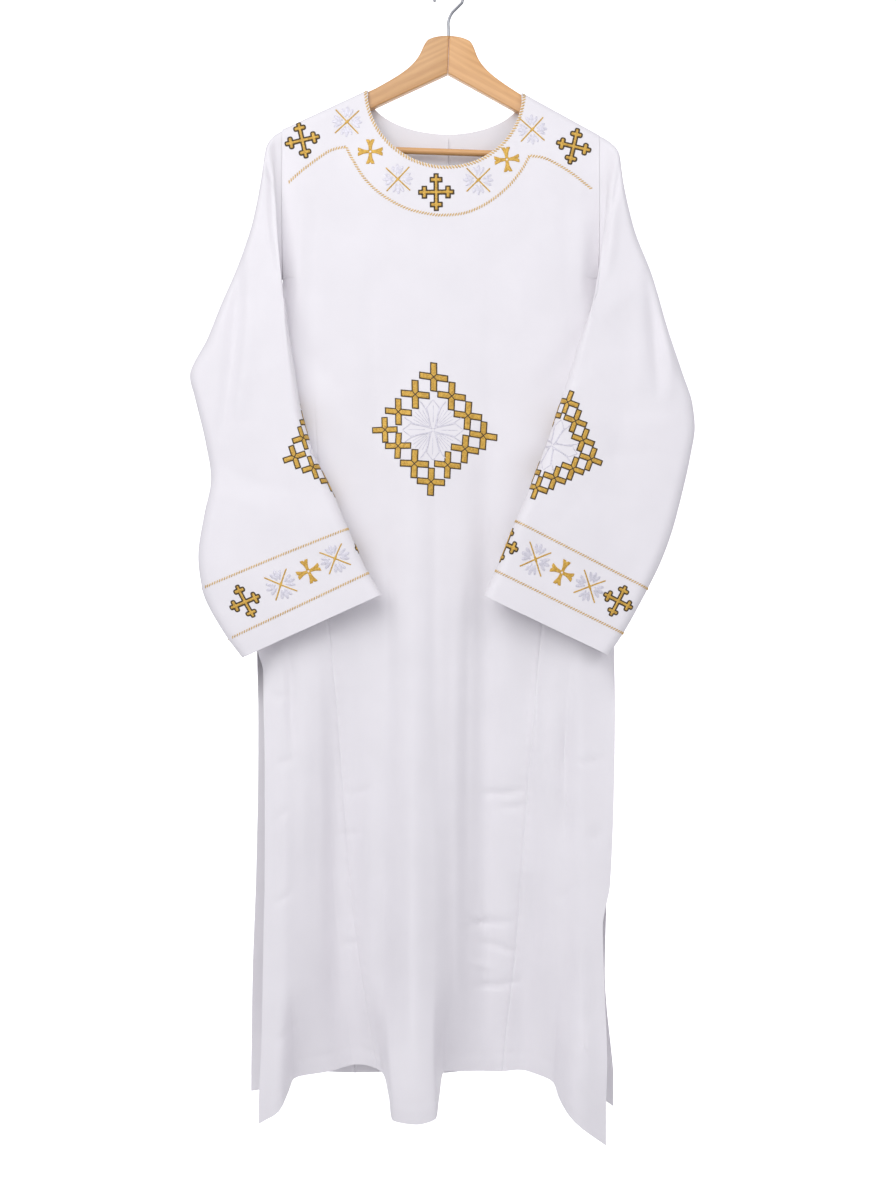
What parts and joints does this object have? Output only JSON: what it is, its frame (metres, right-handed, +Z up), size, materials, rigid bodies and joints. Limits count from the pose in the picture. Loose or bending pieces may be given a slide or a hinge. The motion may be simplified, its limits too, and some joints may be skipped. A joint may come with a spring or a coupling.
{
  "type": "deacon tunic on a wooden hanger",
  "caption": "Long white deacon's tunic with wide open sleeves, flared gores and side slits, hanging on a wooden hanger with a bent wire hook.",
  "frame": {"origin": "inside top of the hanger's hook, where a rail or peg carries the whole part", "axes": "+Z up, +X to the right as seen from the front, +Y towards the back of the tunic"},
  "size_m": [0.724, 0.2175, 1.6648],
  "materials": {
    "white_cloth": "plain white gabardine with a soft sheen",
    "gold_thread": "gold embroidery thread",
    "dark_thread": "dark brown outline thread",
    "silver_thread": "silver-grey embroidery thread",
    "beech_wood": "clear varnished beech",
    "steel_wire": "plated steel wire"
  },
  "bodies": {
    "root": {"front_panel": "white_cloth", "front_gore_left": "white_cloth", "front_gore_right": "white_cloth", "back_left": "white_cloth", "back_right": "white_cloth", "back_gore_left": "white_cloth", "back_gore_right": "white_cloth", "sleeve_left": "white_cloth", "sleeve_right": "white_cloth", "hanger_arm_left": "beech_wood", "hanger_arm_right": "beech_wood", "hanger_bar": "beech_wood", "hanger_hook": "steel_wire"}
  },
  "joints": []
}
